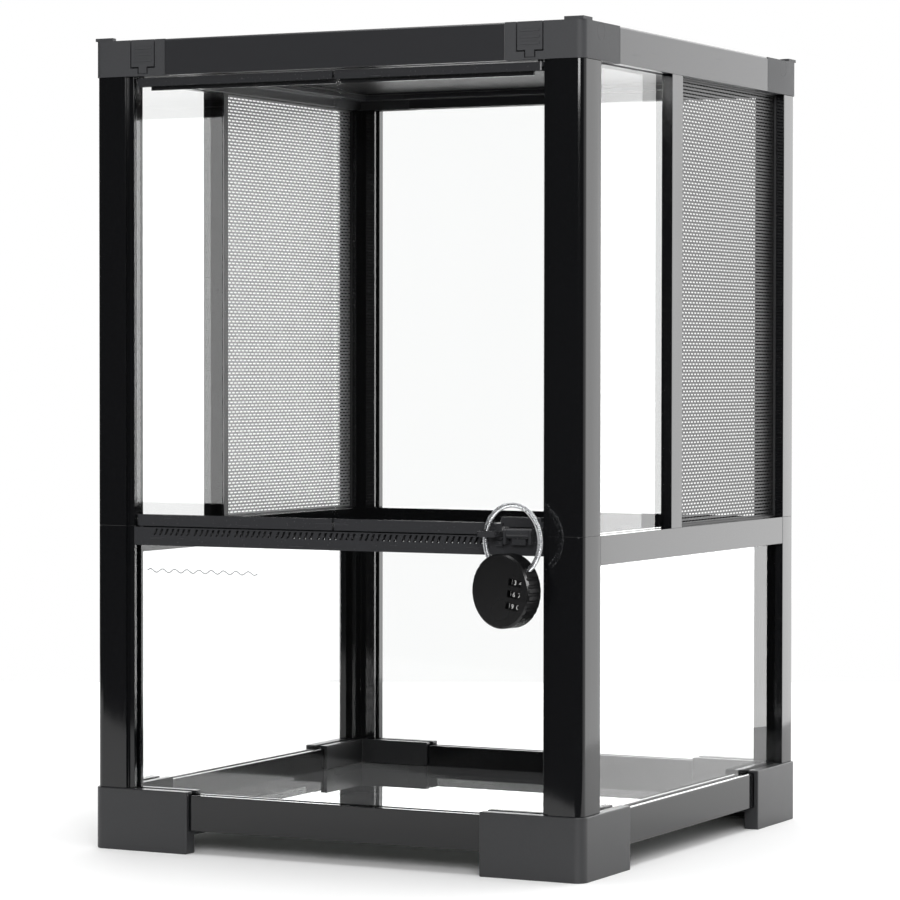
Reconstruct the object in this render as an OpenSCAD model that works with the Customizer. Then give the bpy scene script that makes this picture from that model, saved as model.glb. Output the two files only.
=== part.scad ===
// Knock-down reptile terrarium: glass panels held in plastic corner posts and rails,
// two hinged front doors above a vent bar, screen panels, a lift-off mesh lid and a padlock.
// The origin is on the floor in the middle of the four feet; the front faces -Y.

/* [Overall] */
// Width over the corner posts, left to right
width = 298; // [260:1:500]
// Depth over the corner posts, front to back
depth = 299; // [260:1:500]
// Height from the floor to the stacking pads
height = 450; // [400:1:700]
// Height of the seam between the lower and the upper posts
seam_z = 180; // [160:1:220]

/* [Glass] */
// Thickness of every glass panel
glass_t = 4; // [3:0.5:5]
// Depth of the panels' outer face behind the posts' outer face
glass_in = 5; // [4.5:0.1:6]
// Clearance between a panel and each side of its groove
glass_clear = 0.2; // [0.1:0.05:0.4]
// Depth of the grooves that hold the panels
groove_d = 6; // [5:0.5:7]
// Free space left at the bottom of a groove
groove_gap = 1; // [0.5:0.1:1.5]

/* [Posts] */
// Thickness of a post's two arms
post_t = 11.5; // [11:0.5:14]
// Length of a front post's arm along the front, with its door jamb
front_arm = 23.5; // [22:0.5:28]
// Width of a front post's raised face
front_face = 19.4; // [17:0.1:20.5]
// Depth of the door jamb behind the raised face
jamb_step = 2.2; // [1.5:0.1:2.4]
// Length of a front post's arm along the side
front_side_arm = 22.5; // [21:0.5:26]
// Length of a rear post's arm along the back
rear_arm = 21; // [20:0.5:26]
// Length of a rear post's arm along the side
rear_side_arm = 18.5; // [18:0.5:24]
// Radius of a post's outer corner
post_r = 4.5; // [2:0.5:5]
// Wall of the hollow posts
post_wall = 2.5; // [2:0.1:3]
// Length of the plugs that join feet, posts and top corners
plug_len = 12; // [8:1:16]
// Clearance round a plug or a tenon
plug_clear = 0.1; // [0.05:0.05:0.3]

/* [Feet and base] */
// Height of a foot
foot_h = 34.3; // [33:0.1:40]
// Length of a foot's arms
foot_arm = 60.5; // [50:0.5:75]
// Distance that a foot stands proud of the posts
foot_proud = 1.3; // [0.5:0.1:2]
// Thickness of the skirt that reaches the floor
foot_skirt = 8.6; // [6:0.1:11]
// Reach of a foot's shelf from the outside
foot_shelf = 21.3; // [20:0.1:26]
// Radius of a foot's outer corner
foot_r = 6; // [3:0.5:8]
// Underside of the base rails above the floor
base_z = 12.8; // [10:0.1:13]
// Height of the base rails
base_rail_h = 19.6; // [19:0.1:20]
// Distance of the base rails behind the posts' outer face
base_in = 1.5; // [1:0.1:2]
// Thickness of a base rail's upright web
base_web = 10; // [9.5:0.1:11]
// Width of a base rail's ledge under the base glass
base_ledge = 6; // [4:0.5:8]
// Thickness of that ledge
base_ledge_t = 2.9; // [2:0.1:4]
// Length of a base rail's end inside a foot
rail_in_foot = 14; // [10:1:20]

/* [Middle rails and vent bar] */
// Height of the side and rear middle rails
mid_rail_h = 15.6; // [14:0.1:20]
// Thickness of the middle rails
mid_rail_t = 13; // [12:0.5:16]
// Depth of the grooves in the middle and base rails
rail_groove = 5; // [4:0.5:6]
// Height of the vent bar below the doors
vent_h = 10; // [9.5:0.1:12]
// Distance of the vent bar behind the posts' face
vent_in = 2; // [1.5:0.1:2.3]
// Thickness of the vent bar's slotted front
vent_web = 2.2; // [1.8:0.1:2.6]
// Number of slots in one group
slots_in_group = 7; // [3:1:7]
// Distance from one slot to the next
slot_pitch = 3.5; // [3:0.1:3.6]
// Distance from one group to the next
group_pitch = 25.8; // [25.4:0.1:32]
// Width of a slot
slot_w = 1.5; // [1:0.1:1.8]
// Slant of the slots, top to the right
slot_slant = 24; // [0:1:30]

/* [Top frame] */
// Height of the top rails and corners
top_h = 19.9; // [19:0.1:24]
// Distance that the top frame stands proud of the posts
top_proud = 0.4; // [0.2:0.1:1]
// Length of a top corner's arms
corner_arm = 45; // [40:1:60]
// Height of the stacking pads on the corners
pad_h = 1.7; // [1:0.1:3]
// Radius of the stacking pads
pad_r = 10.5; // [8:0.5:11]
// Width of the ledge that carries the lid
lid_ledge = 8; // [5:0.5:12]
// Thickness of the lid's frame
lid_t = 6; // [5:0.5:8]
// Width of the lid frame's bars
lid_bar = 10; // [8:0.5:16]
// Clearance between the lid and the top frame
lid_clear = 0.5; // [0.3:0.1:1]
// How far the lid is lifted out
lid_lift = 60; // [30:5:100]
// Diameter of the round plugs in the top corners' sides
plug_d = 9.2; // [6:0.1:10]

/* [Lid tabs] */
// Width of a tab's head
tab_head_w = 14.4; // [12:0.1:16]
// Height of a tab's head
tab_head_h = 14.9; // [12:0.1:15.5]
// Width of a tab's neck
tab_neck_w = 5; // [4:0.1:7]
// Thickness of a tab
tab_t = 1.9; // [1.5:0.1:2.2]
// Gap round a tab
tab_gap = 0.8; // [0.5:0.1:1.2]
// Distance of a tab's middle from the post's outer face
tab_u = 30.7; // [29:0.1:34]

/* [Screens] */
// Thickness of the side screens' frames
screen_t = 4; // [3:0.5:4]
// Width of the side screens' frame bars
screen_bar_w = 5; // [4:0.5:5]
// Thickness of the woven mesh
mesh_t = 0.8; // [0.5:0.1:1.2]
// Width of the upright bar between glass and screen
mullion_w = 14.4; // [12:0.2:20]
// Distance of that bar's middle in front of the centre
mullion_y = 26.5; // [0:0.5:40]

/* [Doors] */
// Distance of the doors' front behind the posts' face
door_in = 2.5; // [2.3:0.1:2.8]
// Thickness of the doors' strips
strip_t = 5; // [4.8:0.1:6]
// Height of the top strips
top_strip_h = 4.5; // [4:0.1:6]
// Height of the bottom strips
bottom_strip_h = 6.2; // [6:0.1:8]
// Gap between a door and the door jamb
door_gap = 0.8; // [0.7:0.1:1.5]
// Gap between the two doors
door_seam = 1.5; // [1:0.1:3]
// Gap above and below the doors
door_gap_z = 1.2; // [1:0.1:2]
// Diameter of the pivot pins
pivot_d = 3; // [2:0.1:3.2]
// Radial clearance of the pivot pins
pivot_clear = 0.05; // [0.02:0.01:0.1]
// Length of the pivot pins
pivot_len = 3.6; // [2.5:0.1:3.8]

/* [Latch] */
// Diameter of the turn latch
latch_d = 6; // [5:0.2:6]
// Right end of the latch from the door's pivot
latch_end = 1.2; // [0.5:0.1:3]
// Length of the latch with its two ears
latch_len = 16.2; // [14:0.2:16.2]
// Thickness of an ear
ear_t = 1.5; // [1:0.1:2]
// Reach of the latch's finger from its axis
finger_len = 6; // [5:0.1:6.4]
// Radial distance kept free by the bottom strip for the latch
latch_room = 19.6; // [19.4:0.1:24]
// Distance of the padlock eye from the strip's end
eye_in = 7.3; // [6:0.1:10]
// Distance of the padlock eye in front of the doors
eye_out = 7.1; // [6:0.1:9]
// Radius of the padlock eye's hole
eye_r = 2.3; // [2.1:0.1:2.6]

/* [Padlock] */
// Diameter of the padlock's body
lock_d = 39.2; // [36:0.2:40]
// Thickness of the padlock's body
lock_t = 11; // [10.6:0.2:13]
// Thickness of the body's front shell
lock_front_t = 7; // [6.4:0.2:8]
// Diameter of the cable
cable_d = 3; // [2:0.2:3.4]
// Radius of the cable loop's centre line
loop_r = 18.6; // [16:0.2:20]
// Height of the loop's centre above the body's centre
loop_up = 26.8; // [25:0.2:28]
// Number of notches round the body
lock_notches = 30; // [12:1:36]
// Radius of the number dials
dial_r = 4.9; // [4:0.1:4.9]
// Height of a number dial
dial_h = 4.2; // [3:0.1:4.6]
// Distance from one dial to the next
dial_pitch = 6.3; // [5.9:0.1:7]
// Distance of the dials' axis right of the body's middle
dial_x = 9.4; // [7:0.1:10]
// Turn of the padlock towards the left
lock_yaw = 14; // [0:1:30]
// Lean of the padlock's body to the left
lock_tilt = 9; // [0:1:15]

/* [Hidden] */
$fn = 48;
half_w = width / 2;
half_d = depth / 2;
eps = 0.01;

// Grooves and what fits in them, measured from the posts' outer face
slot_a = glass_in - glass_clear;
slot_b = glass_in + glass_t + glass_clear;
bite = groove_d - groove_gap;
rail_bite = rail_groove - groove_gap;
tongue_a = slot_a + plug_clear;
tongue_t = slot_b - slot_a - 2 * plug_clear;
tongue_len = bite;

// Heights, from the floor up
base_top = base_z + base_rail_h;
base_glass_z = base_z + base_ledge_t;
mid_z = seam_z - mid_rail_h;
vent_gap = 0.4;
vent_top = seam_z - vent_gap;
vent_z = vent_top - vent_h;
top_z = height - pad_h - top_h;
frame_top = top_z + top_h;

// Vent bar
vent_groove = 4.6;
vent_roof = 1.2;
vent_plate = 1.4;
vent_back = 11;
vent_depth = 13;
vent_end = 8;
vent_len = width - 2 * front_arm - 2 * plug_clear;
slot_h = 3.6;
slot_drop = 0.7;
slots_left = 37.5;
slots_right = 54;
slot_groups = floor((width - slots_left - slots_right) / group_pitch + 0.01);

// Top frame
ledge_z = top_z + 5.6;
ledge_t = 3;
lid_z = ledge_z + ledge_t;
top_groove = 5.2;
top_inner = post_t - top_proud;
lid_r = 3;
lid_edge = top_inner + lid_clear;
tenon_len = 8;
tenon_z = lid_z + 1;
tenon_h = 7;
tenon_in = 2.5;
tenon_t = 6.1;
side_plug_t = 3;
side_plug_u = 21.2;
side_plug_z = frame_top - 4.8;
side_plug_clear = 0.05;
tab_recess = tab_t + 1.8;
tab_foot_r = tab_t / 2;
tab_foot_z = top_z + 1;
tab_head_z = frame_top - tab_head_h;

// Doors
pivot_u = front_arm + door_gap + strip_t / 2;
pivot_x = half_w - pivot_u;
pivot_v = door_in + strip_t / 2;
pivot_y = pivot_v - half_d;
door_z = vent_top + 0.7;
strip_top_z = top_z - door_gap_z - top_strip_h;
strip_lip = 2;
lip_t = 1.6;
door_glass_a = pivot_v - glass_t / 2;
door_glass_in = 0.4;
strip_bite = 2.5;
top_bite = 2.2;
glass_fit = 0.05;
shoe_h = 5;
notch_in = 3;

// Latch: its axis lies in front of the doors, just below the glass
latch_y = pivot_y - 5.5;
latch_z = door_z + 1;
latch_x = pivot_x - latch_end - latch_len;
latch_top = latch_z + latch_d / 2;
shoe_z = latch_top + 0.4;
ear_gap = 0.15;
trunnion_r = 1;
trunnion_clear = 0.05;
finger_t = 2;
finger_w = 8;
ear_drop = 5.5;
strip_end = pivot_x - latch_room;

// Padlock eye: a tab on the right door's bottom strip
eye_x = strip_end - eye_in;
eye_y = door_in - half_d - eye_out;
eye_z = door_z + 0.75;
eye_tab_t = 3.1;
eye_wall = 2.3;
block_w = 4.1;
block_out = 2.8;
block_front_gap = 0.5;
block_drop = 2.4;
keeper_w = 4;
keeper_out = 1.6;
keeper_h = 3;

// Padlock, in its own frame: origin in the middle of the body, front towards -Y
lock_split = lock_front_t - lock_t / 2;
lock_edge = 1;
cable_r = cable_d / 2;
socket_deep = 3;
leg_in = 11.6;
leg_angle = asin(leg_in / loop_r);
ferrule_r = cable_r + 0.6;
ferrule_angle = 9;
cable_clear = 0.1;
dial_y = 0.5 - lock_t / 2 + dial_r;
dial_pin_r = 1;
dial_pin_clear = 0.05;
pocket_gap = 0.25;
window_w = 8.6;
window_h = 3.6;
dial_notches = 10;

// ---- Placing ----

// A shape drawn at the front left corner, u inwards along X and v inwards along Y
module at_corner(right, rear) {
    mirror([right ? 1 : 0, 0, 0]) mirror([0, rear ? 1 : 0, 0])
        translate([-half_w, -half_d, 0]) children();
}

// A profile in depth and height, run along the front at a distance from the centre
module run_front(from_centre, length) {
    translate([-length / 2, -from_centre, 0]) rotate([90, 0, 90]) linear_extrude(length) children();
}

module run_side(side, length) {
    if (side == "front") run_front(half_d, length) children();
    if (side == "rear") mirror([0, 1, 0]) run_front(half_d, length) children();
    if (side == "left") rotate(-90) run_front(half_w, length) children();
    if (side == "right") mirror([1, 0, 0]) rotate(-90) run_front(half_w, length) children();
}

module mirror_right(right) {
    mirror([right ? 1 : 0, 0, 0]) children();
}

// ---- Posts ----

function along(rear) = rear ? rear_arm : front_arm;
function aside(rear) = rear ? rear_side_arm : front_side_arm;

// An L with one rounded outer corner, grown outwards by proud
module ell(arm_u, arm_v, t, r, proud = 0) {
    translate([r - proud, r - proud]) circle(r);
    translate([r - proud, -proud]) square([arm_u - r + proud, t + proud]);
    translate([-proud, r - proud]) square([t + proud, arm_v - r + proud]);
}

// The hollow of a post, or the plug that fits it
module post_core(rear, shrink) {
    core_u = along(rear) - groove_d - post_wall;
    core_v = aside(rear) - groove_d - post_wall;
    core_t = post_t - 2 * post_wall;
    translate([post_wall + shrink, post_wall + shrink])
        square([core_u - post_wall - 2 * shrink, core_t - 2 * shrink]);
    translate([post_wall + shrink, post_wall + shrink])
        square([core_t - 2 * shrink, core_v - post_wall - 2 * shrink]);
}

module side_slot(rear) {
    translate([slot_a, aside(rear) - groove_d]) square([slot_b - slot_a, groove_d + 1]);
}

module front_slot(rear) {
    translate([along(rear) - groove_d, slot_a]) square([groove_d + 1, slot_b - slot_a]);
}

module post_profile(rear, hollow, slotted) {
    difference() {
        ell(along(rear), aside(rear), post_t, post_r);
        if (hollow) post_core(rear, 0);
        side_slot(rear);
        if (slotted) front_slot(rear);
        if (!rear) translate([front_face, -1]) square([front_arm, 1 + jamb_step]);
    }
}

module lower_post(right, rear) {
    color("#1b1c1f") at_corner(right, rear)
        translate([0, 0, foot_h]) linear_extrude(seam_z - foot_h) post_profile(rear, true, true);
}

module upper_post(right, rear) {
    color("#1b1c1f") at_corner(right, rear) {
        translate([0, 0, seam_z + post_wall]) linear_extrude(top_z - seam_z - post_wall)
            post_profile(rear, true, rear);
        translate([0, 0, seam_z]) linear_extrude(post_wall) post_profile(rear, false, rear);
        translate([0, 0, seam_z - plug_len]) linear_extrude(plug_len + eps)
            post_core(rear, plug_clear);
    }
}

// ---- Feet and base ----

module base_rail_profile(grow = 0) {
    translate([base_in - grow, base_z - grow]) square([base_web + 2 * grow, base_rail_h + 2 * grow]);
    translate([base_in - grow, base_z - grow])
        square([base_web + base_ledge + 2 * grow, base_ledge_t + grow]);
}

module base_rail(side, span) {
    length = span - 2 * (foot_arm - foot_proud - rail_in_foot);
    color("#232428") run_side(side, length) difference() {
        base_rail_profile();
        translate([slot_a, base_top - rail_groove]) square([slot_b - slot_a, rail_groove + 1]);
    }
}

// The pocket in a foot's arm for a rail end, along u
module rail_pocket() {
    start = foot_arm - foot_proud - rail_in_foot - plug_clear;
    translate([start, 0, 0]) rotate([90, 0, 90]) linear_extrude(foot_arm)
        base_rail_profile(plug_clear);
}

module foot(right, rear) {
    arm = foot_arm - foot_proud;
    inner_wall = base_in + base_web + 2.1;
    glass_edge = base_in + base_web + plug_clear;
    color("#4a4b4f") at_corner(right, rear) difference() {
        union() {
            linear_extrude(base_z) ell(arm, arm, foot_skirt - foot_proud, foot_r, foot_proud);
            translate([0, 0, base_z - 3]) linear_extrude(base_ledge_t + 3)
                ell(arm, arm, foot_shelf - foot_proud, foot_r, foot_proud);
            linear_extrude(foot_h) ell(arm, arm, inner_wall, foot_r, foot_proud);
            linear_extrude(foot_h + plug_len) post_core(rear, plug_clear);
        }
        // Hollow underside behind the skirt
        translate([foot_skirt - foot_proud, foot_skirt - foot_proud, -1])
            cube([arm, arm, base_z - 3 + 1]);
        rail_pocket();
        mirror([1, -1, 0]) rail_pocket();
        // Slots for the glass
        translate([glass_edge, glass_edge, base_glass_z - glass_clear])
            cube([arm, arm, glass_t + 2 * glass_clear]);
        translate([along(rear) - groove_d, slot_a, base_top - rail_groove])
            cube([foot_arm, slot_b - slot_a, foot_h]);
        translate([slot_a, aside(rear) - groove_d, base_top - rail_groove])
            cube([slot_b - slot_a, foot_arm, foot_h]);
    }
}

module base_glass() {
    edge = base_in + base_web + 3 * plug_clear;
    color("#9fb8b4", 0.4) translate([edge - half_w, edge - half_d, base_glass_z])
        cube([width - 2 * edge, depth - 2 * edge, glass_t]);
}

// ---- Glass ----

// A panel along one side, from one end to the other and from z0 to z1
module panel(side, from, to, z0, z1) {
    reach = side == "front" || side == "rear" ? half_w : half_d;
    color("#9fb8b4", 0.4) intersection() {
        run_side(side, 2 * reach) translate([glass_in, z0]) square([glass_t, z1 - z0]);
        if (side == "front" || side == "rear")
            translate([from, -half_d, z0 - 1]) cube([to - from, depth, z1 - z0 + 2]);
        else
            translate([-half_w, from, z0 - 1]) cube([width, to - from, z1 - z0 + 2]);
    }
}

lower_glass_z = base_top - rail_bite;
lower_glass_top = mid_z + rail_bite;
front_glass_top = vent_z + vent_groove - 0.4;
upper_glass_z = seam_z - rail_bite;
upper_glass_top = top_z + top_groove - groove_gap;
front_x = half_w - front_arm + bite;
rear_x = half_w - rear_arm + bite;
side_front_y = front_side_arm - bite - half_d;
side_rear_y = half_d - rear_side_arm + bite;

// ---- Middle rails ----

module mid_rail(side, reach_a, reach_b) {
    // reach_a and reach_b are the places of the rail's ends along its side
    tongue_z = mid_z + rail_groove + 0.4;
    tongue_h = mid_rail_h - 2 * rail_groove - 0.8;
    color("#232428") {
        difference() {
            span_side(side, reach_a, reach_b, 0, mid_rail_t, mid_z, mid_rail_h);
            span_side(side, reach_a - 1, reach_b + 1, slot_a, slot_b - slot_a, mid_z - 1,
                      rail_groove + 1);
            span_side(side, reach_a - 1, reach_b + 1, slot_a, slot_b - slot_a,
                      seam_z - rail_groove, rail_groove + 1);
        }
        span_side(side, reach_a - tongue_len, reach_b + tongue_len, tongue_a, tongue_t,
                  tongue_z, tongue_h);
    }
}

// A block along a side: from a to b along it, in_v deep inwards from the face, at a height
module span_side(side, a, b, in_v, thick, z, h) {
    if (side == "front") translate([a, in_v - half_d, z]) cube([b - a, thick, h]);
    if (side == "rear") translate([a, half_d - in_v - thick, z]) cube([b - a, thick, h]);
    if (side == "left") translate([in_v - half_w, a, z]) cube([thick, b - a, h]);
    if (side == "right") translate([half_w - in_v - thick, a, z]) cube([thick, b - a, h]);
}

// ---- Vent bar ----

module vent_profile() {
    polygon([[vent_in, vent_z], [slot_a, vent_z], [slot_a, vent_z + vent_groove],
             [slot_b, vent_z + vent_groove], [slot_b, vent_z], [vent_back, vent_z],
             [vent_back, vent_z + vent_groove + vent_roof],
             [vent_in + vent_web, vent_z + vent_groove + vent_roof],
             [vent_in + vent_web, vent_top - vent_plate], [vent_depth, vent_top - vent_plate],
             [vent_depth, vent_top], [vent_in, vent_top]]);
}

module vent_slot(x) {
    translate([x, vent_in - half_d + vent_web + 0.3, vent_top - slot_drop - slot_h / 2])
        rotate([90, 0, 0]) linear_extrude(vent_web + 1)
            polygon([for (s = [[-1, -1], [1, -1], [1, 1], [-1, 1]])
                     [s[0] * slot_w / 2 + s[1] * slot_h / 2 * tan(slot_slant),
                      s[1] * slot_h / 2]]);
}

module latch_ear(x) {
    translate([x, latch_y, latch_z]) rotate([90, 0, 90]) linear_extrude(ear_t) difference() {
        union() {
            circle(latch_d / 2);
            translate([-latch_d / 2, -ear_drop])
                square([vent_in - half_d - latch_y + latch_d / 2 + eps, ear_drop]);
        }
        circle(trunnion_r + trunnion_clear);
    }
}

module vent_bar() {
    end_a = vent_len / 2 - vent_end;
    color("#232428") difference() {
        union() {
            run_side("front", vent_len) vent_profile();
            for (x = [-vent_len / 2, end_a])
                translate([x, vent_in - half_d, vent_z + vent_groove])
                    cube([vent_end, vent_depth - vent_in, vent_h - vent_groove]);
            translate([-vent_len / 2 - tongue_len, tongue_a - half_d, vent_top - 4.8])
                cube([vent_len + 2 * tongue_len, tongue_t, 4.8 - vent_plate / 2]);
            latch_ear(latch_x);
            latch_ear(latch_x + latch_len - ear_t);
            // Keeper under the padlock eye's block
            translate([strip_end - keeper_w, vent_in - half_d - keeper_out, vent_z + 4.6])
                cube([keeper_w, keeper_out + eps, keeper_h]);
        }
        // The tongue keeps clear of the slots' air way
        translate([-end_a, vent_in + vent_web - half_d, vent_top - 4.8])
            cube([2 * end_a, vent_depth, 4.8 - vent_plate]);
        for (x = [-pivot_x, pivot_x])
            translate([x, pivot_y, vent_top - pivot_len])
                cylinder(r = pivot_d / 2 + pivot_clear, h = pivot_len + 1);
        for (g = [0 : slot_groups - 1], i = [0 : slots_in_group - 1])
            vent_slot(slots_left - half_w + g * group_pitch + i * slot_pitch);
    }
}

// ---- Screens ----

mullion_front = -mullion_y - mullion_w / 2;
mullion_rear = -mullion_y + mullion_w / 2;
mullion_web = 1.6;
mullion_t = glass_in - glass_clear;
screen_front_y = -mullion_y + mullion_web / 2 + plug_clear;
glass_rear_y = -mullion_y - mullion_web / 2 - plug_clear;

module screen_bar(side) {
    color("#232428") {
        span_side(side, mullion_front, mullion_rear, 0, mullion_t, seam_z, top_z - seam_z);
        span_side(side, -mullion_y - mullion_web / 2, -mullion_y + mullion_web / 2,
                  mullion_t - 1, glass_t + 1 + glass_clear, seam_z, top_z - seam_z);
        span_side(side, -mullion_y - mullion_web / 2, -mullion_y + mullion_web / 2,
                  tongue_a, tongue_t, upper_glass_z, upper_glass_top - upper_glass_z);
    }
}

module screen_frame(side) {
    w = screen_bar_w;
    color("#2b2c30") difference() {
        span_side(side, screen_front_y, side_rear_y, glass_in, screen_t, upper_glass_z,
                  upper_glass_top - upper_glass_z);
        span_side(side, screen_front_y + w, side_rear_y - w, glass_in - 1, screen_t + 2,
                  upper_glass_z + w, upper_glass_top - upper_glass_z - 2 * w);
        screen_sheet(side, mesh_seat, mesh_t + 2 * mesh_gap, mesh_gap);
    }
}

mesh_gap = 0.05;
mesh_bite = 2;
mesh_seat = glass_in + (screen_t - mesh_t) / 2 - mesh_gap;

// The space of the mesh sheet inside its frame
module screen_sheet(side, in_v, thick, grow) {
    w = screen_bar_w - mesh_bite - grow;
    span_side(side, screen_front_y + w, side_rear_y - w, in_v, thick, upper_glass_z + w,
              upper_glass_top - upper_glass_z - 2 * w);
}

mesh_cols = 7;
mesh_rows = 42;
mesh_rib = 1.6;

module screen_mesh(side) {
    w = screen_bar_w - mesh_bite;
    y0 = screen_front_y + w;
    y1 = side_rear_y - w;
    z0 = upper_glass_z + w;
    z1 = upper_glass_top - w;
    dy = (y1 - y0 - 2 * mesh_bite) / mesh_cols;
    dz = (z1 - z0 - 2 * mesh_bite) / mesh_rows;
    color("#b9bcc0") difference() {
        screen_sheet(side, mesh_seat + mesh_gap, mesh_t, 0);
        for (i = [0 : mesh_cols - 1], j = [0 : mesh_rows - 1])
            span_side(side, y0 + mesh_bite + i * dy + mesh_rib / 2,
                      y0 + mesh_bite + (i + 1) * dy - mesh_rib / 2, glass_in - 1, screen_t + 2,
                      z0 + mesh_bite + j * dz + mesh_rib / 2, dz - mesh_rib);
    }
}

// ---- Top frame ----

module top_profile() {
    difference() {
        union() {
            translate([-top_proud, top_z]) square([post_t, top_h]);
            translate([top_inner - 1, ledge_z]) square([lid_ledge + 1, ledge_t]);
        }
        translate([slot_a, top_z - 1]) square([slot_b - slot_a, top_groove + 1]);
        // Bevel along the outer top edge
        translate([-top_proud, frame_top]) rotate(45) square(1.4, center = true);
    }
}

module rail_tenon(grow = 0) {
    translate([tenon_in - grow, tenon_z - grow]) square([tenon_t + 2 * grow, tenon_h + 2 * grow]);
}

module top_rail(side, span) {
    color("#232428") {
        run_side(side, span - 2 * corner_arm) top_profile();
        run_side(side, span - 2 * corner_arm + 2 * tenon_len) rail_tenon();
    }
}

module tenon_socket() {
    start = corner_arm - tenon_len - plug_clear;
    translate([start, 0, 0]) rotate([90, 0, 90]) linear_extrude(corner_arm) rail_tenon(plug_clear);
}

module tab_outline(grow = 0) {
    // u along the front, z up
    translate([tab_u - tab_head_w / 2 - grow, tab_head_z - grow])
        square([tab_head_w + 2 * grow, tab_head_h + 2 * grow]);
    translate([tab_u - tab_neck_w / 2 - grow, tab_foot_z])
        square([tab_neck_w + 2 * grow, tab_head_z - tab_foot_z + 1]);
}

module top_corner(right, rear) {
    color("#5d5e62") at_corner(right, rear) difference() {
        union() {
            translate([0, 0, top_z]) linear_extrude(top_h)
                ell(corner_arm, corner_arm, top_inner, post_r, top_proud);
            translate([0, 0, ledge_z]) linear_extrude(ledge_t)
                ell(corner_arm, corner_arm, top_inner + lid_ledge, post_r, top_proud);
            translate([0, 0, top_z - plug_len]) linear_extrude(plug_len + 1)
                post_core(rear, plug_clear);
            // Stacking pad, a quarter disc
            translate([0, 0, frame_top]) linear_extrude(pad_h) intersection() {
                translate([pad_in, pad_in]) circle(pad_r);
                square(pad_r + pad_in);
            }
        }
        // Grooves for the panels below
        translate([slot_a, aside(rear) - groove_d, top_z - 1])
            cube([slot_b - slot_a, corner_arm, top_groove + 1]);
        if (rear) translate([along(rear) - groove_d, slot_a, top_z - 1])
            cube([corner_arm, slot_b - slot_a, top_groove + 1]);
        tenon_socket();
        mirror([1, -1, 0]) tenon_socket();
        // Round plug in the side face
        translate([-top_proud, side_plug_u, side_plug_z]) rotate([0, 90, 0])
            translate([0, 0, -1]) cylinder(r = plug_d / 2 + side_plug_clear, h = side_plug_t + 1);
        if (!rear) {
            translate([0, tab_recess - top_proud, 0]) rotate([90, 0, 0])
                linear_extrude(tab_recess + 1) tab_outline(tab_gap);
            translate([pivot_u, pivot_v, top_z - 1])
                cylinder(r = pivot_d / 2 + pivot_clear, h = pivot_len + 1);
        }
    }
}

pad_in = 0.6;

module corner_plugs() {
    color("#5d5e62") for (right = [false, true], rear = [false, true])
        at_corner(right, rear) translate([-top_proud, side_plug_u, side_plug_z])
            rotate([0, 90, 0]) cylinder(r = plug_d / 2, h = side_plug_t);
}

// ---- Lid ----

module lid_outline(inset, r) {
    w = width - 2 * lid_edge - 2 * inset;
    d = depth - 2 * lid_edge - 2 * inset;
    union() {
        square([w - 2 * r, d], center = true);
        square([w, d - 2 * r], center = true);
        for (x = [-1, 1], y = [-1, 1]) translate([x * (w / 2 - r), y * (d / 2 - r)]) circle(r);
    }
}

lid_mesh_z = lid_z + 1;
lid_mesh_bite = 3;

module lid_frame() {
    color("#2b2c30") difference() {
        translate([0, 0, lid_z]) linear_extrude(lid_t) lid_outline(0, lid_r);
        translate([0, 0, lid_z - 1]) linear_extrude(lid_t + 2) lid_outline(lid_bar, 1);
        translate([0, 0, lid_mesh_z - mesh_gap]) linear_extrude(mesh_t + 2 * mesh_gap)
            lid_outline(lid_bar - lid_mesh_bite - 0.1, 1);
    }
}

lid_cells = 12;

module lid_mesh() {
    inset = lid_bar - lid_mesh_bite;
    w = width - 2 * lid_edge - 2 * lid_bar;
    d = depth - 2 * lid_edge - 2 * lid_bar;
    dx = w / lid_cells;
    dy = d / lid_cells;
    color("#85888c") translate([0, 0, lid_mesh_z]) linear_extrude(mesh_t) difference() {
        lid_outline(inset, 1);
        for (i = [0 : lid_cells - 1], j = [0 : lid_cells - 1])
            translate([i * dx - w / 2 + mesh_rib / 2, j * dy - d / 2 + mesh_rib / 2])
                square([dx - mesh_rib, dy - mesh_rib]);
    }
}

module lid_tab(right) {
    rib_w = 11.5;
    rib_h = 1.2;
    color("#5d5e62") at_corner(right, false) difference() {
        union() {
            translate([0, tab_t - top_proud, 0]) rotate([90, 0, 0])
                linear_extrude(tab_t) difference() {
                    tab_outline();
                    translate([0, tab_foot_z - 1]) square([2 * tab_u, 1 + tab_foot_r]);
                }
            translate([tab_u - tab_neck_w / 2, tab_foot_r - top_proud, tab_foot_z + tab_foot_r])
                rotate([0, 90, 0]) cylinder(r = tab_foot_r, h = tab_neck_w);
            // Three thumb ribs
            for (drop = [4.6, 8.1, 11.5])
                translate([tab_u - rib_w / 2, -top_proud - 0.3, frame_top - drop - rib_h / 2])
                    cube([rib_w, 0.3 + eps, rib_h]);
        }
    }
}

// ---- Doors ----

// A strip with a full round at the pivot end, seen from above, right door
module strip_plan(x_from) {
    translate([x_from, door_in - half_d]) square([pivot_x - x_from, strip_t]);
    translate([pivot_x, pivot_y]) circle(strip_t / 2);
}

module door_glass(right) {
    z0 = shoe_z + shoe_h - strip_bite;
    low = door_z + bottom_strip_h - strip_bite;
    x0 = door_seam / 2;
    x1 = pivot_x + strip_t / 2 - door_glass_in;
    color("#9fb8b4", 0.4) mirror_right(!right) difference() {
        translate([x0, door_glass_a - half_d, low])
            cube([x1 - x0, glass_t, strip_top_z + top_bite - low]);
        if (right) translate([strip_end - notch_in - glass_fit, -half_d, low - 1])
            cube([half_w, depth, z0 - low + 1]);
    }
}

module glass_groove(z0, z1, x1 = half_w) {
    translate([-1, door_glass_a - glass_fit - half_d, z0])
        cube([x1 + 1, glass_t + 2 * glass_fit, z1 - z0]);
}

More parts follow.
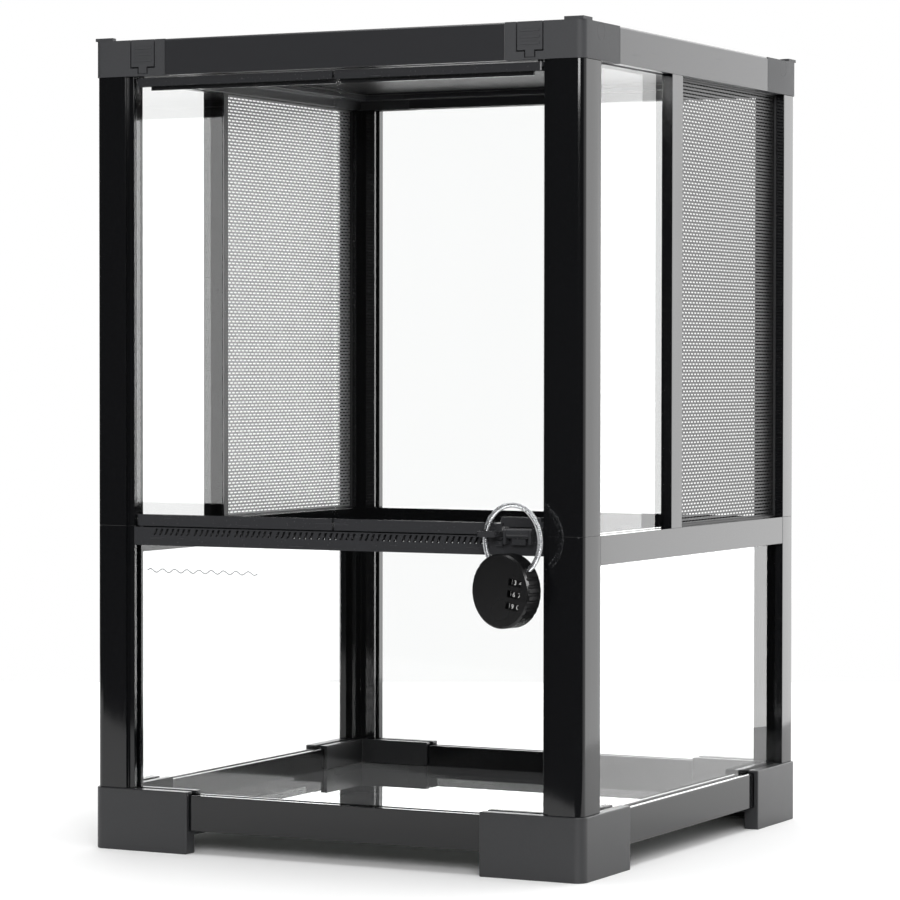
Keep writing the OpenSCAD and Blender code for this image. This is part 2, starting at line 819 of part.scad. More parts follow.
module door_top_strip(right) {
    color("#232428") mirror_right(!right) {
        difference() {
            union() {
                translate([0, 0, strip_top_z]) linear_extrude(top_strip_h)
                    strip_plan(door_seam / 2);
                // Lip behind the glass
                translate([door_seam / 2, door_glass_a + glass_t + glass_fit - half_d,
                           strip_top_z - strip_lip])
                    cube([pivot_x - strip_t - door_seam / 2, lip_t, strip_lip + top_strip_h]);
            }
            glass_groove(strip_top_z - 1, strip_top_z + top_bite + glass_fit);
        }
        translate([pivot_x, pivot_y, strip_top_z + top_strip_h - 1])
            cylinder(r = pivot_d / 2, h = 1 + door_gap_z + pivot_len - 0.2);
    }
}

module bottom_pin() {
    pin_z = vent_top - pivot_len + 0.2;
    translate([pivot_x, pivot_y, pin_z]) cylinder(r = pivot_d / 2, h = shoe_z - pin_z + 1);
}

module door_bottom_strip_left() {
    color("#232428") mirror([1, 0, 0]) {
        difference() {
            translate([0, 0, door_z]) linear_extrude(bottom_strip_h) strip_plan(door_seam / 2);
            glass_groove(door_z + bottom_strip_h - strip_bite - glass_fit, seam_z + 20);
        }
        translate([pivot_x, pivot_y, vent_top - pivot_len + 0.2])
            cylinder(r = pivot_d / 2, h = pivot_len + 1.4);
    }
}

module eye_tab() {
    front = door_in - half_d;
    difference() {
        union() {
            translate([eye_x, eye_y, eye_z - eye_tab_t / 2])
                cylinder(r = eye_r + eye_wall, h = eye_tab_t);
            translate([eye_x, eye_y - eye_r - eye_wall, eye_z - eye_tab_t / 2])
                cube([strip_end - eye_x, front - eye_y + eye_r + eye_wall + eps, eye_tab_t]);
            translate([strip_end - block_w, front - block_out, eye_z - eye_tab_t / 2])
                cube([block_w, block_out + eps, door_z + bottom_strip_h - eye_z + eye_tab_t / 2]);
            // Nose in front of the vent bar
            translate([strip_end - block_w, front - block_out, door_z - block_drop])
                cube([block_w, block_out - block_front_gap - vent_step, block_drop + eps]);
        }
        translate([eye_x, eye_y, eye_z - eye_tab_t]) cylinder(r = eye_r, h = 2 * eye_tab_t);
        // The tab keeps clear of the vent bar below it
        translate([eye_x - 2 * eye_r - eye_wall, front - block_front_gap - vent_step, 0])
            cube([half_w, strip_t, door_z]);
    }
}

vent_step = door_in - vent_in;

module door_bottom_strip_right() {
    color("#232428") {
        difference() {
            union() {
                translate([0, 0, door_z]) linear_extrude(bottom_strip_h)
                    translate([door_seam / 2, door_in - half_d])
                        square([strip_end - door_seam / 2, strip_t]);
                // Shoe that carries the glass over the latch
                translate([0, 0, shoe_z]) linear_extrude(shoe_h) strip_plan(strip_end - 2);
            }
            glass_groove(door_z + bottom_strip_h - strip_bite - glass_fit, seam_z + 20,
                         strip_end - notch_in);
            glass_groove(shoe_z + shoe_h - strip_bite - glass_fit, seam_z + 20);
        }
        bottom_pin();
        eye_tab();
    }
}

module latch_knob() {
    x0 = latch_x + ear_t + ear_gap;
    len = latch_len - 2 * ear_t - 2 * ear_gap;
    color("#34353a") difference() {
        union() {
            translate([x0, latch_y, latch_z]) rotate([0, 90, 0])
                cylinder(r = latch_d / 2, h = len);
            translate([latch_x, latch_y, latch_z]) rotate([0, 90, 0])
                cylinder(r = trunnion_r, h = latch_len);
            // Finger, hanging down when the latch is open
            translate([x0 + (len - finger_w) / 2, latch_y - finger_t / 2, latch_z - finger_len])
                cube([finger_w, finger_t, finger_len]);
        }
    }
}

// ---- Padlock ----

// The padlock hangs on its cable in the eye
module in_lock() {
    translate([eye_x, eye_y, eye_z]) rotate([0, 0, -lock_yaw]) rotate([0, lock_tilt, 0])
        translate([loop_r, 0, -loop_up]) children();
}

module lock_disc(y0, y1) {
    translate([0, y1, 0]) rotate([90, 0, 0]) children();
}

module lock_shell(y0, y1, front) {
    r = lock_d / 2;
    difference() {
        translate([0, y1, 0]) rotate([90, 0, 0]) rotate_extrude() polygon(front
            ? [[0, 0], [r, 0], [r, y1 - y0 - lock_edge], [r - lock_edge, y1 - y0], [0, y1 - y0]]
            : [[0, 0], [r - lock_edge, 0], [r, lock_edge], [r, y1 - y0], [0, y1 - y0]]);
        // Notches round the sides, in two fields
        for (i = [0 : lock_notches - 1]) {
            a = 360 / lock_notches * (i + 0.5);
            if (abs(sin(a)) < 0.62)
                rotate([0, a, 0]) translate([r + 0.5, y0 - 1, 0]) rotate([-90, 0, 0])
                    cylinder(r = 1.1, h = y1 - y0 + 2);
        }
        for (k = [-1, 0, 1]) translate([dial_x, dial_y, k * dial_pitch])
            cylinder(r = dial_r + pocket_gap, h = dial_h + 2 * pocket_gap, center = true);
        lock_cable_path(cable_r + cable_clear, 0);
    }
}

module lock_cable_path(r, short) {
    translate([0, 0, loop_up]) rotate([90, 0, 0])
        rotate([0, 0, leg_start + short]) rotate_extrude(angle = 360 - 2 * (leg_start + 90 + short))
            translate([loop_r, 0]) circle(r, $fn = 24);
}

leg_start = -90 + leg_angle;

module lock_case() {
    color("#26272b") in_lock() {
        difference() {
            lock_shell(-lock_t / 2, lock_split, true);
            for (k = [-1, 0, 1])
                translate([dial_x - window_w / 2, -lock_t / 2 - 1, k * dial_pitch - window_h / 2])
                    cube([window_w, dial_y + lock_t / 2 + 1, window_h]);
        }
        translate([dial_x, dial_y, 0])
            cylinder(r = dial_pin_r, h = 2 * dial_pitch + dial_h + 2, center = true);
    }
}

module lock_back() {
    color("#26272b") in_lock() lock_shell(lock_split, lock_t / 2, false);
}

module lock_dial(k) {
    color("#d8d8d4") in_lock() translate([dial_x, dial_y, (2 - k) * dial_pitch]) difference() {
        cylinder(r = dial_r, h = dial_h, center = true);
        cylinder(r = dial_pin_r + dial_pin_clear, h = dial_h + 1, center = true);
        for (i = [0 : dial_notches - 1]) rotate(360 / dial_notches * (i + 0.5))
            translate([dial_r + 0.35, 0, 0]) cylinder(r = 0.8, h = dial_h + 1, center = true);
    }
}

module lock_cable() {
    color("#e4e5e6") in_lock() {
        lock_cable_path(cable_r, 0.3);
    }
}

// ---- Parts ----

foot(false, false);  // foot_front_left
foot(true, false);  // foot_front_right
foot(false, true);  // foot_rear_left
foot(true, true);  // foot_rear_right
base_rail("front", width);  // base_rail_front
base_rail("rear", width);  // base_rail_rear
base_rail("left", depth);  // base_rail_left
base_rail("right", depth);  // base_rail_right
base_glass();
lower_post(false, false);  // lower_post_front_left
lower_post(true, false);  // lower_post_front_right
lower_post(false, true);  // lower_post_rear_left
lower_post(true, true);  // lower_post_rear_right
upper_post(false, false);  // upper_post_front_left
upper_post(true, false);  // upper_post_front_right
upper_post(false, true);  // upper_post_rear_left
upper_post(true, true);  // upper_post_rear_right
panel("front", -front_x, front_x, lower_glass_z, front_glass_top);  // lower_glass_front
panel("rear", -rear_x, rear_x, lower_glass_z, lower_glass_top);  // lower_glass_rear
panel("left", side_front_y, side_rear_y, lower_glass_z, lower_glass_top);  // lower_glass_left
panel("right", side_front_y, side_rear_y, lower_glass_z, lower_glass_top);  // lower_glass_right
vent_bar();
mid_rail("rear", rear_arm - half_w, half_w - rear_arm);  // mid_rail_rear
mid_rail("left", front_side_arm - half_d, half_d - rear_side_arm);  // mid_rail_left
mid_rail("right", front_side_arm - half_d, half_d - rear_side_arm);  // mid_rail_right
panel("rear", -rear_x, rear_x, upper_glass_z, upper_glass_top);  // upper_glass_rear
panel("left", side_front_y, glass_rear_y, upper_glass_z, upper_glass_top);  // upper_glass_left
panel("right", side_front_y, glass_rear_y, upper_glass_z, upper_glass_top);  // upper_glass_right
screen_bar("left");  // screen_bar_left
screen_bar("right");  // screen_bar_right
screen_frame("left");  // screen_frame_left
screen_frame("right");  // screen_frame_right
screen_mesh("left");  // screen_mesh_left
screen_mesh("right");  // screen_mesh_right
top_corner(false, false);  // top_corner_front_left
top_corner(true, false);  // top_corner_front_right
top_corner(false, true);  // top_corner_rear_left
top_corner(true, true);  // top_corner_rear_right
top_rail("front", width);  // top_rail_front
top_rail("rear", width);  // top_rail_rear
top_rail("left", depth);  // top_rail_left
top_rail("right", depth);  // top_rail_right
lid_frame();
lid_mesh();
lid_tab(false);  // lid_tab_left
lid_tab(true);  // lid_tab_right
corner_plugs();
door_glass(false);  // door_glass_left
door_glass(true);  // door_glass_right
door_top_strip(false);  // door_top_strip_left
door_top_strip(true);  // door_top_strip_right
door_bottom_strip_left();
door_bottom_strip_right();
latch_knob();
lock_case();
lock_back();
lock_dial(1);  // lock_dial_1
lock_dial(2);  // lock_dial_2
lock_dial(3);  // lock_dial_3
lock_cable();
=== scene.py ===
# %% [markdown]
# # A reptile terrarium: gloss black plastic, clear glass and fine mesh
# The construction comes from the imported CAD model, which this script never moves. What is left
# is what the eye sees: the finish of every surface, the fine mesh, the wire cable and the light.

# %% Load the fixed frame
import math

import bpy
import numpy as np
from mathutils import Matrix, Vector


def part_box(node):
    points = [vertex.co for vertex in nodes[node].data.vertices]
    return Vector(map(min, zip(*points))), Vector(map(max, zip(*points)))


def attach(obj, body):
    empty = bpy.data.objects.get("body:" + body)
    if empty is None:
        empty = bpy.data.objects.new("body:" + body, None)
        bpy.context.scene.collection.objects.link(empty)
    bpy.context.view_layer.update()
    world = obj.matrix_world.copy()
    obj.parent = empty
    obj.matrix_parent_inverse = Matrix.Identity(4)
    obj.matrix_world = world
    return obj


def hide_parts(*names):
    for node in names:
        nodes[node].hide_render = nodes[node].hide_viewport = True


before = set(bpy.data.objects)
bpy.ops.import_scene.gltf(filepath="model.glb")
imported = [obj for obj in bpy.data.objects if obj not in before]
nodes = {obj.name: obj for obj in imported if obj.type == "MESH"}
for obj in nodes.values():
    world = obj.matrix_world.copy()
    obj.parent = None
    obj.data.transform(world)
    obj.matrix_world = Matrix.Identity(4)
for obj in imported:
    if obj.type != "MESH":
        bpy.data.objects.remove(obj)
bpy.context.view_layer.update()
MM = 0.001

# %% [markdown]
# ## The camera
# The photograph was taken with a long lens from the right of the front, from a little over half
# the object's height. A camera could be set by eye, but here straight edges whose places on the
# object are known gave the view, so the numbers below are real angles and distances. The three
# axes of the camera are written out as vectors, because a rotation matrix made of them holds
# yaw, pitch and roll at once.

# %% Camera
CAMERA_PLACE = Vector((0.9124, -1.7981, 0.2700))
CAMERA_YAW = math.radians(27.014)
CAMERA_PITCH = math.radians(1.407)
CAMERA_ROLL = math.radians(0.063)
SENSOR_MM = 36.0
LENS_MM = 140.30


def make_camera():
    """A camera whose axes are built from yaw, pitch and roll: forward, right and their cross."""
    forward = Vector((-math.sin(CAMERA_YAW) * math.cos(CAMERA_PITCH),
                      math.cos(CAMERA_YAW) * math.cos(CAMERA_PITCH),
                      -math.sin(CAMERA_PITCH)))
    level = Vector((math.cos(CAMERA_YAW), math.sin(CAMERA_YAW), 0))
    upright = level.cross(forward)
    right = level * math.cos(CAMERA_ROLL) + upright * math.sin(CAMERA_ROLL)
    up = upright * math.cos(CAMERA_ROLL) - level * math.sin(CAMERA_ROLL)
    data = bpy.data.cameras.new("camera")
    data.sensor_width = SENSOR_MM
    data.lens = LENS_MM
    camera = bpy.data.objects.new("camera", data)
    turn = Matrix((right, up, -forward)).transposed().to_4x4()
    camera.matrix_world = Matrix.Translation(CAMERA_PLACE) @ turn
    bpy.context.scene.collection.objects.link(camera)
    bpy.context.scene.camera = camera
    return camera


camera = make_camera()
print("camera looks from", tuple(round(c, 3) for c in camera.location))

# %% [markdown]
# ## Shader maths as Python
# Materials below are written as sums and products of patterns. They could be built by hand in the
# shader editor, but a script that names every node and link is hard to read. So a small class
# wraps a node's output socket, and its operators add Math nodes: `1 - scratches * 0.2` reads as
# it is meant. Every other node comes from one method that sets the node's settings first and its
# inputs next.


# %% A socket with operators
class Value:
    """An output socket in a material's node tree. Arithmetic on it adds Math nodes."""

    def __init__(self, shader, socket):
        self.shader = shader
        self.socket = socket

    def _math(self, operation, a, b):
        return self.shader.node("ShaderNodeMath", {"operation": operation}, {0: a, 1: b})

    def __add__(self, other):
        return self._math("ADD", self, other)

    def __radd__(self, other):
        return self._math("ADD", other, self)

    def __rsub__(self, other):
        return self._math("SUBTRACT", other, self)

    def __mul__(self, other):
        return self._math("MULTIPLY", self, other)

    def __rmul__(self, other):
        return self._math("MULTIPLY", other, self)

    def clamp(self):
        """The value kept between 0 and 1."""
        return self.shader.node("ShaderNodeClamp", {}, {0: self})

    def max(self, other):
        """The larger of the two values."""
        return self._math("MAXIMUM", self, other)


class Shader:
    """A material, or the world, and its node tree."""

    def __init__(self, owner):
        self.owner = owner
        owner.use_nodes = True
        self.tree = owner.node_tree
        self.tree.nodes.clear()

    def node(self, kind, settings=None, inputs=None, out=0):
        """Adds a node: its settings first, then values or links for its inputs. Gives back one
        output, where the node has any."""
        made = self.tree.nodes.new(kind)
        for name, value in (settings or {}).items():
            setattr(made, name, value)
        for name, value in (inputs or {}).items():
            if isinstance(value, Value):
                self.tree.links.new(value.socket, made.inputs[name])
            else:
                made.inputs[name].default_value = value
        return Value(self, made.outputs[out]) if made.outputs else None

    def place(self):
        """Object coordinates, in metres."""
        return self.node("ShaderNodeTexCoord", out="Object")

    def noise(self, scale, detail, stretch=None):
        """Noise with so many cells to the metre, stretched by a vector where one is given."""
        where = self.place()
        if stretch is not None:
            where = self.node("ShaderNodeVectorMath", {"operation": "MULTIPLY"},
                              {0: where, 1: stretch})
        return self.node("ShaderNodeTexNoise", {}, {"Vector": where, "Scale": scale,
                                                    "Detail": detail})

    def rays(self, kind):
        """1 for rays of that kind and 0 for the others, as the Light Path node tells."""
        return self.node("ShaderNodeLightPath", out=kind)

    def any_ray(self, kind, other_kind):
        """1 for rays of either kind."""
        return self.rays(kind).max(self.rays(other_kind))

    def ramp(self, value, low, high):
        """The value spread so that low becomes 0 and high becomes 1."""
        return self.node("ShaderNodeMapRange", {}, {"Value": value, "From Min": low,
                                                    "From Max": high})

    def mix_colour(self, factor, a, b):
        """Colour a where the factor is 0, colour b where it is 1."""
        return self.node("ShaderNodeMix", {"data_type": "RGBA"},
                         {0: factor, 6: (*a, 1), 7: (*b, 1)}, out=2)

    def bump(self, height, depth):
        """A normal bent by a height pattern; depth is its real depth in metres."""
        return self.node("ShaderNodeBump", {}, {"Height": height, "Distance": depth},
                         out="Normal")

    def surface(self, **sockets):
        """The Principled surface, joined to the material's output. Base_Color=... sets the
        socket Base Color."""
        inputs = {name.replace("_", " "): value for name, value in sockets.items()}
        self.output(self.node("ShaderNodeBsdfPrincipled", {}, inputs))

    def output(self, shader, kind="ShaderNodeOutputMaterial"):
        """Joins a shader to the tree's output."""
        self.node(kind, {}, {"Surface": shader})


def new_material(name):
    """An empty material with that name, wrapped."""
    return Shader(bpy.data.materials.new(name))


# %% [markdown]
# ## Gloss black plastic
# The posts and rails are extruded in a hard black plastic with a polished face. Up close such a
# face is never flat: it has long shallow waves along the extrusion and a few faint rub marks.
# Painting them as lighter streaks would look grey, so the waves are a very low bump of stretched
# noise, and the rub marks only change the roughness. The colour stays black and the reflections
# carry the detail. Top rails and door strips have the same finish with less polish. The top rails
# also get a lighter base colour: partly the grey of a satin face, partly painted sheen that stands
# in for the soft box they mirror.


# %% Gloss black
PLASTIC_IOR = 1.5
WAVES_ALONG, WAVES_ACROSS = 4.0, 60.0
WAVE_DEPTH = 0.12 * MM
RUBS_ALONG, RUBS_ACROSS = 30.0, 400.0
DUST_SPECKS = 900.0
DUST_GREY = (0.05, 0.05, 0.052)
# Lighter base colour of the top rails: partly a satin face's own grey, partly painted sheen.
TOP_GREY_AND_SHEEN = (0.026, 0.0265, 0.029)


def scales(axis, along, across):
    """Cells to the metre on the three axes: one number along an axis, another across it."""
    return [along if a == axis else across for a in "XYZ"]


def gloss_black(name, axis, roughness=0.07, colour=(0.0042, 0.0044, 0.0050)):
    """Polished black plastic whose faint waves run along one axis. Specks of dust are greyer
    and rougher."""
    m = new_material(name)
    waves = m.noise(1.0, 1.0, scales(axis, WAVES_ALONG, WAVES_ACROSS))
    rubs = m.ramp(m.noise(1.0, 6.0, scales(axis, RUBS_ALONG, RUBS_ACROSS)), 0.62, 0.8).clamp()
    dust = m.ramp(m.noise(DUST_SPECKS, 2.0), 0.68, 0.78).clamp()
    m.surface(Base_Color=m.mix_colour(dust * 0.12, colour, DUST_GREY),
              Roughness=roughness + rubs * 0.10 + dust * 0.12,
              IOR=PLASTIC_IOR, Normal=m.bump(waves, WAVE_DEPTH))
    return m.owner


post_black = gloss_black("post_black", "Z")
rail_black_x = gloss_black("rail_black_x", "X")
rail_black_y = gloss_black("rail_black_y", "Y")
# The top rails take the lighter base, which is partly painted sheen.
top_black_x = gloss_black("top_black_x", "X", 0.34, TOP_GREY_AND_SHEEN)
top_black_y = gloss_black("top_black_y", "Y", 0.34, TOP_GREY_AND_SHEEN)
door_black = gloss_black("door_black", "X", 0.26, (0.030, 0.0305, 0.033))
print("a gloss black has", len(post_black.node_tree.nodes), "nodes")

# %% [markdown]
# ## Matte black plastic
# Feet, top corners and tabs are moulded in a mould with an etched skin: a fine even grain that
# breaks the reflection into a soft grey. Roughness alone would give the soft grey, but not the
# grain that shows close up, so two sizes of noise bend the normal too. A slow third one shifts
# the roughness a little, as handling does.


# %% Matte black
FINE_GRAIN, COARSE_GRAIN = 2600.0, 900.0
HANDLED_PATCHES = 18.0


def times(colour, factor):
    """The colour made lighter or darker."""
    return tuple(c * factor for c in colour)


def matte_black(name, colour, roughness, depth):
    """Etched black plastic: grain of a given depth in the bump, slow patches in the roughness."""
    m = new_material(name)
    fine = m.noise(FINE_GRAIN, 2.0)
    coarse = m.noise(COARSE_GRAIN, 2.0)
    patches = m.noise(HANDLED_PATCHES, 3.0)
    m.surface(Base_Color=m.mix_colour(coarse, colour, times(colour, 1.25)),
              Roughness=roughness - 0.06 + patches * 0.14, IOR=PLASTIC_IOR,
              Normal=m.bump(fine * 0.6 + coarse * 0.4, depth))
    return m.owner


corner_black = matte_black("corner_black", (0.042, 0.043, 0.046), 0.60, 0.06 * MM)
foot_black = matte_black("foot_black", (0.025, 0.0255, 0.027), 0.36, 0.06 * MM)
frame_black = matte_black("frame_black", (0.018, 0.018, 0.019), 0.45, 0.03 * MM)
lock_black = matte_black("lock_black", (0.0035, 0.0035, 0.0038), 0.24, 0.01 * MM)
print("a matte black has", len(foot_black.node_tree.nodes), "nodes")

# %% [markdown]
# ## Glass
# A pane is two flat faces close together, so what lies behind it looks straight, not bent. The
# surface could be real refracting glass, but that takes far more samples for the same look. It is
# therefore a mix of a clear and a mirror surface. The mirror's share is near nothing looking
# straight at the pane, and rises with the fourth power to 1 at a grazing angle. Real glass starts
# at 0.04 and rises with the fifth power. Here the start is lower, because the dark front of this
# studio would grey the white behind the pane, and the rise is quicker, which gives the side
# panels the pale veil they have in the photograph. The pane at the bottom has a share of pale
# grey diffuse surface in the mix, which makes it lighter.

# %% Glass
STRAIGHT_MIRROR = 0.01
DIFFUSE_GREY = (0.72, 0.72, 0.74, 1)
DIFFUSE_SHARE = 0.16
SMEARS = 9.0


def grey(value):
    """A neutral colour of that lightness."""
    return (value, value, value, 1)


def clear_glass(name, tint, shade, diffuse_share=0.0):
    """Mirror share = r0 + (1 - r0) * facing ** 4, where facing is 0 head on and 1 at grazing.
    The view through takes the tint, and light on its way to a lit surface takes the shade."""
    m = new_material(name)
    facing = m.node("ShaderNodeLayerWeight", {}, {"Blend": 0.5}, out="Facing")
    squared = facing * facing
    share = STRAIGHT_MIRROR + squared * squared * (1 - STRAIGHT_MIRROR)
    smears = m.ramp(m.noise(SMEARS, 5.0), 0.55, 0.8).clamp()
    mirror = m.node("ShaderNodeBsdfAnisotropic", {}, {"Color": grey(1.0),
                                                      "Roughness": 0.015 + smears * 0.03})
    clear = m.node("ShaderNodeBsdfTransparent", {}, {"Color": (*tint, 1)})
    dimmer = m.node("ShaderNodeBsdfTransparent", {}, {"Color": (*shade, 1)})
    to_lit = m.any_ray("Is Shadow Ray", "Is Diffuse Ray")
    # A pale grey diffuse surface, mixed in by its share, which makes the pane lighter.
    dust = m.node("ShaderNodeBsdfDiffuse", {}, {"Color": DIFFUSE_GREY})
    through = m.node("ShaderNodeMixShader", {}, {0: diffuse_share, 1: clear, 2: dust})
    seen = m.node("ShaderNodeMixShader", {}, {0: share, 1: through, 2: mirror})
    m.output(m.node("ShaderNodeMixShader", {}, {0: to_lit, 1: seen, 2: dimmer}))
    return m.owner


panel_glass = clear_glass("panel_glass", (0.998, 1.0, 0.999), (0.72, 0.725, 0.72))
# The bottom pane takes a share of pale grey diffuse surface, which makes it lighter.
floor_glass = clear_glass("floor_glass", (0.95, 0.96, 0.955), (0.25, 0.255, 0.25), DIFFUSE_SHARE)
print("a clear glass has", len(panel_glass.node_tree.nodes), "nodes")

# %% [markdown]
# ## Metals and small finishes
# The screens are expanded aluminium with a coat, worn a little on the high points. The left
# screen, seen from inside, takes a much lighter copy of the same coated metal: painted light,
# where the right screen and the lid take the dark copy. The padlock's cable is bright twisted
# steel, its numbers are pale ink, and the level line on the glass is grey ink. The pieces are so
# small that one noise each is enough: it shifts the colour and the roughness together.


# %% Metals, ink
WORN_SPOTS = 350.0
WIRE_SPOTS = 700.0
INK_SPECKS = 1500.0


def coated_mesh(name, colour):
    """Coated aluminium, semi-matte, with lighter worn spots."""
    m = new_material(name)
    worn = m.ramp(m.noise(WORN_SPOTS, 3.0), 0.5, 0.75).clamp()
    m.surface(Base_Color=m.mix_colour(worn, colour, times(colour, 1.6)),
              Roughness=0.40 + worn * 0.1, Metallic=0.35)
    return m.owner


def bright_steel(name):
    """Drawn steel wire, bright, with a fine variation from strand to strand."""
    m = new_material(name)
    spots = m.noise(WIRE_SPOTS, 3.0)
    m.surface(Base_Color=m.mix_colour(spots, (0.62, 0.63, 0.65), (0.86, 0.87, 0.88)),
              Roughness=0.18 + spots * 0.16, Metallic=1.0)
    return m.owner


def printed_ink(name, colour):
    """Printed ink: matte, with a slightly broken edge."""
    m = new_material(name)
    broken = m.noise(INK_SPECKS, 2.0)
    m.surface(Base_Color=m.mix_colour(broken, colour, times(colour, 0.8)),
              Roughness=0.55 + broken * 0.1)
    return m.owner


# The left screen's copy is painted light: the same coated metal, made lighter.
lit_copy_mesh = coated_mesh("mesh_metal_painted_lit", (0.26, 0.26, 0.265))
dark_mesh = coated_mesh("mesh_metal_dark", (0.030, 0.030, 0.031))
cable_steel = bright_steel("cable_steel")
number_ink = printed_ink("number_ink", (0.75, 0.75, 0.74))
line_ink = printed_ink("line_ink", (0.30, 0.31, 0.32))
print("a coated mesh has", len(lit_copy_mesh.node_tree.nodes), "nodes")

# %% [markdown]
# ## Finishing the CAD pieces
# A moulded or extruded edge is never a knife edge: a small round catches the light as a thin
# bright line. The rounds could be in the CAD, but they would cost it thousands of facets. So the
# CAD mesh stays as it is: a Weld modifier joins its loose triangles, and a Bevel modifier rounds
# what is sharper than 35 degrees. Round walls stay smooth. Each family of pieces has a material
# and a radius in millimetres, and the first name that fits is taken.

# %% Edges and materials of the CAD pieces
EDGE_ANGLE = math.radians(35)
EDGE_SEGMENTS = 2
WELD_REACH = 0.002 * MM


def finish_piece(name, material, edge):
    """Gives a CAD node its material and rounds its edges by so many millimetres."""
    piece = nodes[name]
    piece.data.materials.clear()
    piece.data.materials.append(material)
    piece.data.polygons.foreach_set("use_smooth", [True] * len(piece.data.polygons))
    if "custom_normal" in piece.data.attributes:
        piece.data.attributes.remove(piece.data.attributes["custom_normal"])
    weld = piece.modifiers.new("weld", "WELD")
    weld.merge_threshold = WELD_REACH
    bevel = piece.modifiers.new("edge", "BEVEL")
    bevel.width = edge * MM
    bevel.segments = EDGE_SEGMENTS
    bevel.limit_method = "ANGLE"
    bevel.angle_limit = EDGE_ANGLE
    bevel.harden_normals = True
    bevel.use_clamp_overlap = True


FINISHES = {
    "foot_": (foot_black, 0.6),
    "base_rail_front": (rail_black_x, 0.4), "base_rail_rear": (rail_black_x, 0.4),
    "base_rail_": (rail_black_y, 0.4),
    "lower_post_": (post_black, 0.3), "upper_post_": (post_black, 0.3),
    "mid_rail_rear": (rail_black_x, 0.3), "mid_rail_": (rail_black_y, 0.3),
    "vent_bar": (door_black, 0.15),
    "screen_bar_": (post_black, 0.3), "screen_frame_": (frame_black, 0.2),
    "top_corner_": (corner_black, 0.35), "corner_plugs": (corner_black, 0.15),
    "top_rail_front": (top_black_x, 0.4), "top_rail_rear": (top_black_x, 0.4),
    "top_rail_": (top_black_y, 0.4),
    "lid_frame": (frame_black, 0.4), "lid_tab_": (corner_black, 0.15),
    "door_top_": (door_black, 0.25), "door_bottom_": (door_black, 0.2),
    "latch_knob": (door_black, 0.2),
    "lock_case": (lock_black, 0.2), "lock_back": (lock_black, 0.2),
    "lock_dial_": (lock_black, 0.15),
    "base_glass": (floor_glass, 0.25), "door_glass_": (panel_glass, 0.25),
    "lower_glass_": (panel_glass, 0.25), "upper_glass_": (panel_glass, 0.25),
}
finished = 0
for name in nodes:
    finish = next((FINISHES[k] for k in FINISHES if name.startswith(k)), None)
    if finish:
        finish_piece(name, *finish)
        finished += 1
print("finished", finished, "of", len(nodes), "CAD pieces; the meshes and the cable are made anew")


# %% [markdown]
# ## The screens
# The real screens are expanded metal: thin strands that swing up and down and meet their
# neighbours, which leaves rows of small oval holes, each row shifted by half a hole. Holes in the
# alpha of a flat sheet would be quicker, but only real strands have a depth that changes with the
# view. One strand is a flat bar whose height follows a cosine, kept at its highest and lowest
# points, so that a sheet stays light. A small web joins each strand to the next where they come
# closest. All the corners are worked out at once as numpy arrays.

# %% Expanded mesh
ROW_PITCH = 1.9 * MM
HOLE_PITCH = 4.4 * MM
STRAND_W = 1.1 * MM
WEB_W = 0.32 * MM
SWING = 0.09 * MM
SHEET_T = 0.5 * MM
WEB_T = 0.45 * MM
BAR_RING = np.array([[-1, -1], [-1, 1], [1, 1], [1, -1]]) / 2
UNIT_BOX = np.array([[x, y, z] for x in (0, 1) for y in (0, 1) for z in (0, 1)], float)
BOX_FACES = np.array([[0, 1, 3, 2], [4, 6, 7, 5], [0, 4, 5, 1], [2, 3, 7, 6], [0, 2, 6, 4],
                      [1, 5, 7, 3]])


def mesh_object(name, points, faces, material):
    """A mesh object at the origin, from an array of points and an array or a list of faces."""
    data = bpy.data.meshes.new(name)
    data.from_pydata(points.reshape(-1, 3).tolist(), [], [tuple(f) for f in faces])
    data.update()
    data.materials.append(material)
    made = bpy.data.objects.new(name, data)
    bpy.context.scene.collection.objects.link(made)
    return made


def strand_bars(u, middle):
    """Bars of a flat cross-section along u, one for each row of middle heights. A ring of four
    corners stands at every u, and a quad closes each end."""
    rows, count = middle.shape
    points = np.empty((rows, count, 4, 3))
    points[..., 0] = u[:, None]
    points[..., 1] = middle[..., None] + BAR_RING[:, 1] * STRAND_W
    points[..., 2] = BAR_RING[:, 0] * SHEET_T
    corner = np.arange(4)
    after = (corner + 1) % 4
    start = np.arange(rows)[:, None] * count * 4
    ring = (start + np.arange(count - 1) * 4)[..., None]
    walls = np.stack([ring + corner, ring + after, ring + 4 + after, ring + 4 + corner], -1)
    ends = np.concatenate([start + corner[::-1], start + (count - 1) * 4 + corner])
    return points.reshape(-1, 3), np.concatenate([walls.reshape(-1, 4), ends])


def webs(u, middle, joined):
    """A box from each strand's middle up to the next one's, at every place that is joined."""
    lower, at = np.nonzero(joined)
    low, high = middle[lower, at], middle[lower + 1, at]
    points = np.empty((len(at), 8, 3))
    points[..., 0] = np.clip(u[at][:, None] + (UNIT_BOX[:, 0] - 0.5) * WEB_W, 0, u[-1])
    points[..., 1] = np.where(UNIT_BOX[:, 1] > 0, high[:, None], low[:, None])
    points[..., 2] = (UNIT_BOX[:, 2] - 0.5) * WEB_T
    faces = np.arange(len(at))[:, None, None] * 8 + BOX_FACES
    return points.reshape(-1, 3), faces.reshape(-1, 4)


